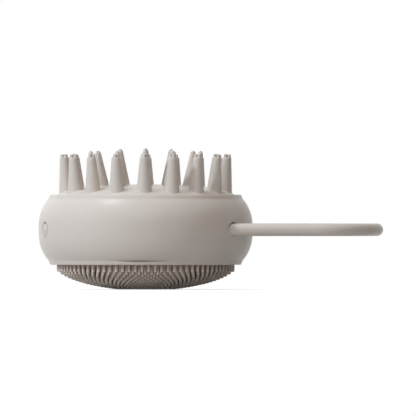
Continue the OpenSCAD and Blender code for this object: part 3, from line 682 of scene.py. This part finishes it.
def handle_shape():
    """A round rod swept along one arm, half round the bow and back along the other.

    A centre line point has a sideways unit vector n. The rod's ring there is centre +
    R (n cos a + Z sin a), where R is the rod's radius, less a groove near each end and
    rounded off at the ends.
    """
    # Where the rod's radius changes, and one point between its end and the groove
    cuts = [ARM_IN_X, ARM_IN_X + ARM_END_ROUND, 14.5]
    cuts += [GROOVE_START, GROOVE_START + 0.01, GROOVE_END - 0.01, GROOVE_END]
    x = np.concatenate([cuts, np.linspace(18, BOW_X, 40)])
    radius = np.full(len(x), ROD_R)
    radius[0] -= ARM_END_ROUND
    radius[4:6] -= ROD_GROOVE_DEPTH
    t = np.linspace(-math.pi / 2, math.pi / 2, 97)[1:-1]
    bow_side = np.stack([np.cos(t), np.sin(t)], 1)
    arm = np.stack([x, np.full(len(x), -ARM_Y)], 1)
    line = np.concatenate([arm, [BOW_X, 0] + ARM_Y * bow_side, (arm * [1, -1])[::-1]])
    side = np.concatenate([np.repeat([[0.0, -1.0]], len(x), 0), bow_side, np.repeat([[0.0, 1.0]], len(x), 0)])
    radius = np.concatenate([radius, np.full(len(t), ROD_R), radius[::-1]])
    a = around(ROD_SIDES)
    flat = line[:, None] + side[:, None] * (radius[:, None] * np.cos(a))[..., None]
    z = WAIST_Z + radius[:, None] * np.sin(a)
    rings = np.concatenate([flat, z[..., None]], -1).reshape(-1, 3)
    points, faces = closed_rings(rings, ROD_SIDES, [[ARM_IN_X, -ARM_Y, WAIST_Z], [ARM_IN_X, ARM_Y, WAIST_Z]])
    return points, [f[:, ::-1] for f in faces]


# ---------- Power button ----------

BUTTON_SIDES = 144
CAP_R = 2.3
CAP_REACH = 0.34
REACH_HALF_ANGLE = math.radians(40)
REACH_FADE = math.radians(8)
SKIRT_R = 2.66
GROOVE_DEPTH = 0.9
STEM_END = 29.9
# Radius from the button's axis and distance from the body's, of the stem and then of the flange
BUTTON_BACK = np.array([
    (1.3, STEM_END), (1.4, 30.0), (1.4, 34.4),
    (3.1, 34.4), (3.2, 34.5), (3.2, 35.1), (3.1, 35.2), (SKIRT_R, 35.2),
])


def button_shape():
    """The button: a cap whose face follows the barrel, with a flange and a stem behind it.

    Rows of a lathe round the button's axis; the face's rows are lifted to the barrel, at
    s = sqrt(R(z)^2 - across^2), and sunk by the engraved tick. Below the middle the cap
    reaches out almost to the sleeve, which breaks the ring on both sides of the tick. A skirt
    behind the cap's edge closes the gap, which so shows as a shallow groove.
    """
    a = around(BUTTON_SIDES)
    ones = np.ones(BUTTON_SIDES)
    closing = smooth_step((REACH_HALF_ANGLE - np.abs(from_down(a))) / REACH_FADE)
    cap_r = CAP_R + CAP_REACH * closing
    share = np.concatenate([np.linspace(0, 1, 34)[1:-1] * 0.95, [0.965, 0.98, 0.99, 1.0]])[::-1, None]
    edge_sink = np.concatenate([np.zeros(32), [0.005, 0.02, 0.05, 0.12]])[::-1, None]

    def near_face(rho, depth):
        """Distance from the body's axis to the barrel's face at a radius of the button, less a depth."""
        return np.sqrt(barrel_r(WAIST_Z + rho * np.sin(a)) ** 2 - (rho * np.cos(a)) ** 2) - depth

    face_r = share * cap_r
    face_depth = edge_sink * (1 - 0.8 * closing) + tick_depth(face_r * np.cos(a), face_r * np.sin(a))
    skirt_r = np.stack([SKIRT_R * ones, (SKIRT_R - 0.05) * ones, cap_r, cap_r])
    skirt_depth = np.array([GROOVE_DEPTH + 0.05, GROOVE_DEPTH, GROOVE_DEPTH, 0.2])[:, None]
    rho = np.concatenate([BUTTON_BACK[:, :1] * ones, skirt_r, face_r])
    out = np.concatenate([
        BUTTON_BACK[:, 1:] * ones, near_face(skirt_r, skirt_depth), near_face(face_r, face_depth)
    ])
    rings = np.stack([out, rho * np.cos(a), rho * np.sin(a)], -1).reshape(-1, 3)
    poles = [[STEM_END, 0, 0], [WAIST_R - tick_depth(0, 0), 0, 0]]
    points, faces = closed_rings(rings, BUTTON_SIDES, poles)
    c, s = math.cos(BUTTON_AZ), math.sin(BUTTON_AZ)
    return placed(points, np.array([0, 0, WAIST_Z]), (c, s, 0), (-s, c, 0), (0, 0, 1)), faces


# ---------- Pieces ----------

# Painted light on the bristle tips, with the inner bristles' sides lightened against their shade
TIP_FADE = 0.8
INNER_PAINTED_LIGHT = 0.25
INNER_R = 29.9
INNER_FADE = 0.3
# Painted shade in the barrel's holes and grooves: where it starts below the face, how far it fades in and how
# far from the waist it reaches; then the share of it in the fold's crease
CREVICE_START = 0.04
CREVICE_SPAN = 0.36
CREVICE_HALF_H = 8
FOLD_PAINTED_SHADE = 0.9


def point_places(mesh):
    """The x, y and z of a mesh's points in millimetres."""
    flat = np.empty(3 * len(mesh.vertices))
    mesh.vertices.foreach_get("co", flat)
    return flat.reshape(-1, 3).T / MM


def give_points(mesh, name, values):
    """Keeps one number for each point of a mesh, for its material to read."""
    mesh.attributes.new(name, "FLOAT", "POINT").data.foreach_set("value", values)


def paint_tip_light(mesh):
    """Painted light and shade on the brush, for each point: 1 on the middle tips, less further out and up the
    sides. The tips are painted light where light catches them, and the sides are darker as painted shade
    between the bristles.

    A tip has 1 - (r / R)^2 / 2, which fades out over TIP_FADE above it, so the middle, shaded by the floor,
    is painted lighter. The sides keep at least a small share of painted light, which lightens the shade
    between them, except beyond INNER_R, on the outermost ring of bristles.
    """
    x, y, z = point_places(mesh)
    r = np.hypot(x, y)
    above = z - np.maximum(bristle_tip_z(r), 0)
    tips = smooth_step((TIP_FADE - above) / TIP_FADE) * (1 - 0.5 * (r / PAD_R) ** 2)
    give_points(mesh, "painted_tip_light", np.maximum(tips, INNER_PAINTED_LIGHT * smooth_step((INNER_R - r) / INNER_FADE)))


def paint_crevice_shade(mesh):
    """Painted shade on the barrel, for each point: 0 on its face, and 1 from 0.4 mm down a hole or a line,
    where the colour is darkened in place of the shade that falls there.

    The fold's painted shade is a set share times its depth there as a share of its full depth.
    """
    x, y, z = point_places(mesh)
    below = barrel_r(z) - np.hypot(x, y)
    in_hole = smooth_step((below - CREVICE_START) / CREVICE_SPAN) * (np.abs(z - WAIST_Z) < CREVICE_HALF_H)
    in_fold = sleeve_fold(np.arctan2(y, x) % TURN, z) / FOLD_DEPTH * (below < 1)
    give_points(mesh, "painted_crevice_shade", np.maximum(in_hole, FOLD_PAINTED_SHADE * in_fold))


sleeve = add_piece("soft_sleeve", sleeve_shape(), "housing", "silicone", ["body_sleeve"])
# Painted shade in the sleeve's holes and in the fold above the lower lip
paint_crevice_shade(sleeve.data)
add_piece("prong_pad", scalp_pad_shape(), "housing", "silicone", ["scalp_pad"])
brush_nodes = ["brush_hub"] + [f"brush_slice_{number}" for number in range(1, 7)]
brush_shape = joined([brush_backing_shape(), bristle_shapes()])
brush = add_piece("bristle_field", brush_shape, "housing", "silicone", brush_nodes)
# Painted light on the bristle tips and painted shade towards their roots
paint_tip_light(brush.data)
add_piece("handle_rod", handle_shape(), "housing", "handle", ["handle_loop"])
button = add_piece("button_cap", button_shape(), "button", "silicone", ["power_button"], sharp=60)
# Painted shade in the button's groove and tick
paint_crevice_shade(button.data)


# ---------- Materials ----------

SILICONE_COLOUR = (0.60, 0.55, 0.512)
# Colour of the painted shade in holes, grooves and the fold
CREVICE_SHADE_COLOUR = (0.27, 0.21, 0.18)
# Colours of the painted shade at the bristles' roots and of the painted light on their tips
ROOT_SHADE_COLOUR = (0.46, 0.385, 0.34)
TIP_LIGHT_COLOUR = (0.93, 0.83, 0.745)


def link(tree, from_node, from_name, to_node, to_name):
    """Joins an output of one node to an input of another, each given by its name or number."""
    tree.links.new(from_node.outputs[from_name], to_node.inputs[to_name])


def finish_group():
    """Shared surface detail: a slow mottle of colour and roughness, and a fine grain for the bump.

    Colour = colour x (1 + mottle x (slow noise - 0.5)), roughness = roughness + its change x
    (slow noise - 0.5), and height = fine noise.
    """
    group = bpy.data.node_groups.new("moulded_finish", "ShaderNodeTree")
    face = group.interface
    for name, kind, value in (
        ("Colour", "NodeSocketColor", (0.8, 0.8, 0.8, 1)), ("Mottle", "NodeSocketFloat", 0.05),
        ("Mottle Scale", "NodeSocketFloat", 60.0), ("Grain Scale", "NodeSocketFloat", 2500.0),
        ("Roughness", "NodeSocketFloat", 0.5), ("Roughness Change", "NodeSocketFloat", 0.1),
        ("Stretch", "NodeSocketVector", (1, 1, 1)),
    ):
        socket = face.new_socket(name, in_out="INPUT", socket_type=kind)
        socket.default_value = value
    for name, kind in (("Colour", "Color"), ("Roughness", "Float"), ("Height", "Float")):
        face.new_socket(name, in_out="OUTPUT", socket_type=f"NodeSocket{kind}")
    nodes = group.nodes
    given, made = nodes.new("NodeGroupInput"), nodes.new("NodeGroupOutput")
    place = nodes.new("ShaderNodeTexCoord")
    stretch = nodes.new("ShaderNodeVectorMath")
    stretch.operation = "MULTIPLY"
    slow, fine = nodes.new("ShaderNodeTexNoise"), nodes.new("ShaderNodeTexNoise")
    slow.inputs["Detail"].default_value = 3
    fine.inputs["Detail"].default_value = 2
    link(group, place, "Object", stretch, 0)
    link(group, given, "Stretch", stretch, 1)
    for noise, scale in ((slow, "Mottle Scale"), (fine, "Grain Scale")):
        link(group, stretch, "Vector", noise, "Vector")
        link(group, given, scale, noise, "Scale")

    def maths(operation, *values):
        """A maths node of two values, each a number or a node's output."""
        node = nodes.new("ShaderNodeMath")
        node.operation = operation
        for index, value in enumerate(values):
            if isinstance(value, tuple):
                link(group, *value, node, index)
            else:
                node.inputs[index].default_value = value
        return node, "Value"

    centred = maths("SUBTRACT", (slow, "Fac"), 0.5)
    bright = maths("ADD", maths("MULTIPLY", centred, (given, "Mottle")), 1.0)
    scaled = nodes.new("ShaderNodeVectorMath")
    scaled.operation = "SCALE"
    link(group, given, "Colour", scaled, 0)
    link(group, *bright, scaled, "Scale")
    rough = maths("ADD", maths("MULTIPLY", centred, (given, "Roughness Change")), (given, "Roughness"))
    link(group, scaled, "Vector", made, "Colour")
    link(group, *rough, made, "Roughness")
    link(group, fine, "Fac", made, "Height")
    return group


FINISH = finish_group()


def make_finish(name, colour, roughness, mottle=0.06, mottle_scale=60, grain=2500, bump=0.1, depth=0.00002,
                change=0.1, stretch=(1, 1, 1), metallic=0.0, **sockets):
    """A material: the shared finish feeding a Principled shader, whose other sockets are set plainly."""
    material = bpy.data.materials.new(name)
    material.use_nodes = True
    tree = material.node_tree
    shader = tree.nodes["Principled BSDF"]
    group = tree.nodes.new("ShaderNodeGroup")
    group.node_tree = FINISH
    for socket, value in (
        ("Colour", (*colour, 1)), ("Mottle", mottle), ("Mottle Scale", mottle_scale), ("Grain Scale", grain),
        ("Roughness", roughness), ("Roughness Change", change), ("Stretch", stretch),
    ):
        group.inputs[socket].default_value = value
    relief = tree.nodes.new("ShaderNodeBump")
    relief.inputs["Strength"].default_value = bump
    relief.inputs["Distance"].default_value = depth
    link(tree, group, "Height", relief, "Height")
    link(tree, group, "Colour", shader, "Base Color")
    link(tree, group, "Roughness", shader, "Roughness")
    link(tree, relief, "Normal", shader, "Normal")
    shader.inputs["Metallic"].default_value = metallic
    for socket, value in sockets.items():
        shader.inputs[socket.replace("_", " ")].default_value = value
    return material


def shade_by(material, value, low, high):
    """Mixes a material's colour between two colours by a number that the mesh keeps for each point."""
    tree = material.node_tree
    finish = next(node for node in tree.nodes if node.type == "GROUP")
    share, mix = tree.nodes.new("ShaderNodeAttribute"), tree.nodes.new("ShaderNodeMix")
    share.attribute_name = value
    mix.data_type = "RGBA"
    mix.inputs["A"].default_value = (*low, 1)
    mix.inputs["B"].default_value = (*high, 1)
    link(tree, share, "Fac", mix, "Factor")
    link(tree, mix, "Result", finish, "Colour")


silicone = make_finish("satin_silicone", SILICONE_COLOUR, 0.34, mottle=0.03, mottle_scale=45, grain=2600,
                       change=0.06, Specular_IOR_Level=0.22)
# Painted shade: the barrel's colour darkens towards the shade colour in holes, grooves and the fold
shade_by(silicone, "painted_crevice_shade", SILICONE_COLOUR, CREVICE_SHADE_COLOUR)
bristle_silicone = make_finish("bristle_silicone", SILICONE_COLOUR, 0.5, mottle=0.08, mottle_scale=120,
                               grain=3000, bump=0.12, Specular_IOR_Level=0.2)
# Painted light and shade: the bristles' colour runs from the root shade to the tip light
shade_by(bristle_silicone, "painted_tip_light", ROOT_SHADE_COLOUR, TIP_LIGHT_COLOUR)
handle_skin = make_finish("handle_skin", SILICONE_COLOUR, 0.38, mottle=0.04, mottle_scale=50, grain=2400,
                          bump=0.12, Specular_IOR_Level=0.22)
FINISHES = {
    "silicone": silicone,
    "handle": handle_skin,
    "hard_plastic": make_finish("moulded_plastic", (0.42, 0.385, 0.35), 0.42, grain=1500, bump=0.2),
    "seal_rubber": make_finish("seal_rubber", (0.025, 0.025, 0.027), 0.7, mottle=0.2, grain=1800, bump=0.25),
    "steel": make_finish("brushed_steel", (0.56, 0.57, 0.59), 0.3, mottle=0.12, mottle_scale=300, grain=900,
                         bump=0.2, change=0.2, stretch=(1, 1, 0.06), metallic=1.0),
    "brass": make_finish("turned_brass", (0.62, 0.42, 0.16), 0.28, mottle=0.1, mottle_scale=200, grain=1200,
                         bump=0.15, stretch=(0.2, 0.2, 1), metallic=1.0),
    "board": make_finish("solder_mask", (0.012, 0.12, 0.05), 0.32, mottle=0.35, mottle_scale=500, grain=900,
                         bump=0.3),
    "black_plastic": make_finish("black_plastic", (0.012, 0.012, 0.013), 0.45, mottle=0.2, grain=1400,
                                 bump=0.25),
    "white_plastic": make_finish("ivory_plastic", (0.66, 0.62, 0.52), 0.35, grain=1200, bump=0.12),
    "cell_wrap": make_finish("cell_wrap", (0.20, 0.26, 0.34), 0.25, mottle=0.1, mottle_scale=180, grain=400,
                             bump=0.3, Coat_Weight=0.3),
    "foam": make_finish("foam", (0.035, 0.035, 0.04), 0.9, mottle=0.6, mottle_scale=900, grain=1600, bump=0.8,
                        depth=0.0002),
    "lead_red": make_finish("red_lead", (0.40, 0.015, 0.012), 0.35, grain=1600),
    "lead_blue": make_finish("blue_lead", (0.015, 0.035, 0.28), 0.35, grain=1600),
}
slot_of_node = {row["node"]: row["material_slot"] for row in frame["record"]["subparts"]}
for name, node in frame["nodes"].items():
    node.data.materials.clear()
    node.data.materials.append(FINISHES[slot_of_node[name]])
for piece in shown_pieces():
    if "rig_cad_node" not in piece:
        finish = bristle_silicone if piece.name == "bristle_field" else FINISHES[piece["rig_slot"]]
        piece.data.materials.append(finish)


# ---------- Stage ----------

FLOOR_R = 0.6
FLOOR_Z = -0.00005
FLOOR_COLOUR = (0.5, 0.49, 0.475, 1)
FLOOR_GLOW = 0.7
BODY_MIDDLE = Vector((0, 0, 0.022))
LAMP_FAR = 1.2
CAMERA_FAR = 4.5
CAMERA_X = 0.0217
CAMERA_Z = 0.0283
VIEW_WIDTH = 0.1448


def seen_white(tree):
    """1 where the camera, a mirror or glass looks, and 0 where the surface lights something."""
    path = tree.nodes.new("ShaderNodeLightPath")
    node, output = path, "Is Camera Ray"
    for name in ("Is Glossy Ray", "Is Transmission Ray"):
        larger = tree.nodes.new("ShaderNodeMath")
        larger.operation = "MAXIMUM"
        link(tree, node, output, larger, 0)
        link(tree, path, name, larger, 1)
        node, output = larger, "Value"
    return node, output


def studio_floor():
    """A pale round floor. Where it is seen it adds its own white, so that only the shadow is left on it."""
    mesh = bpy.data.meshes.new("studio_floor")
    edge = turned(FLOOR_R, FLOOR_Z, around(96))
    mesh.from_pydata(edge.tolist(), [], [list(range(len(edge)))])
    floor = bpy.data.objects.new("studio_floor", mesh)
    bpy.context.scene.collection.objects.link(floor)
    material = bpy.data.materials.new("studio_floor")
    material.use_nodes = True
    nodes, tree = material.node_tree.nodes, material.node_tree
    shader = nodes["Principled BSDF"]
    shader.inputs["Base Color"].default_value = FLOOR_COLOUR
    shader.inputs["Roughness"].default_value = 0.9
    shader.inputs["Specular IOR Level"].default_value = 0
    glow, both, strength = (nodes.new(f"ShaderNode{kind}") for kind in ("Emission", "AddShader", "Math"))
    strength.operation = "MULTIPLY"
    strength.inputs[1].default_value = FLOOR_GLOW
    link(tree, *seen_white(tree), strength, 0)
    link(tree, strength, "Value", glow, "Strength")
    link(tree, shader, 0, both, 0)
    link(tree, glow, 0, both, 1)
    link(tree, both, 0, nodes["Material Output"], "Surface")
    mesh.materials.append(material)


def studio_world():
    """White where the camera, a mirror or glass looks at it; the lamps alone light the object."""
    world = bpy.data.worlds.new("studio_world")
    bpy.context.scene.world = world
    world.use_nodes = True
    tree = world.node_tree
    back = tree.nodes["Background"]
    back.inputs["Color"].default_value = (1, 1, 1, 1)
    link(tree, *seen_white(tree), back, "Strength")


def round_lamp(name, azimuth, elevation, size, power, lights=True, shines=False):
    """A round lamp that faces the body from an azimuth (0 is the camera's side, 90 is +X) and an elevation.

    power holds the watts of red, green and blue. Only a lamp that shines is mirrored by the
    object, and one that doesn't light adds nothing to its plain colour.
    """
    lamp = bpy.data.lights.new(name, "AREA")
    lamp.shape = "DISK"
    lamp.size = size
    lamp.energy = max(power)
    lamp.color = [watts / max(power) for watts in power]
    holder = bpy.data.objects.new(name, lamp)
    bpy.context.scene.collection.objects.link(holder)
    side, up = math.radians(azimuth), math.radians(elevation)
    way = Vector((math.sin(side) * math.cos(up), -math.cos(side) * math.cos(up), math.sin(up)))
    holder.location = BODY_MIDDLE + LAMP_FAR * way
    holder.rotation_euler = way.to_track_quat("Z", "Y").to_euler()
    holder.visible_diffuse = lights
    holder.visible_glossy = shines


studio_floor()
studio_world()
round_lamp("key_lamp", -58, 31, 0.18, (6.4, 7.0, 7.4))
round_lamp("left_lamp", -90, 8, 0.8, (1.6, 1.8, 2.2))
round_lamp("low_lamp", -30, 5, 0.5, (2.15, 2.15, 2.1))
round_lamp("low_right_lamp", 30, 4, 0.5, (0.7, 0.7, 0.7))
round_lamp("front_lamp", 0, 30, 0.4, (2.4, 2.15, 2.0))
round_lamp("top_lamp", 0, 88, 0.6, (1.5, 1.8, 2.2))
round_lamp("top_left_lamp", -90, 70, 0.12, (3.1, 3.2, 3.2))
round_lamp("top_right_lamp", 90, 75, 0.4, (2.8, 2.4, 1.9))
round_lamp("back_lamp", -150, 20, 0.5, (3.6, 3.0, 2.3))
round_lamp("shine_lamp", -66, 62.5, 0.1, (4.2, 4.8, 5.2), lights=False, shines=True)

camera_data = bpy.data.cameras.new("camera")
camera = bpy.data.objects.new("camera", camera_data)
bpy.context.scene.collection.objects.link(camera)
camera.location = (CAMERA_X, -CAMERA_FAR, CAMERA_Z)
camera.rotation_euler = (math.pi / 2, 0, 0)
camera_data.lens = camera_data.sensor_width * CAMERA_FAR / VIEW_WIDTH
camera_data.clip_end = 30
bpy.context.scene.camera = camera
bpy.context.scene.view_settings.view_transform = "Standard"
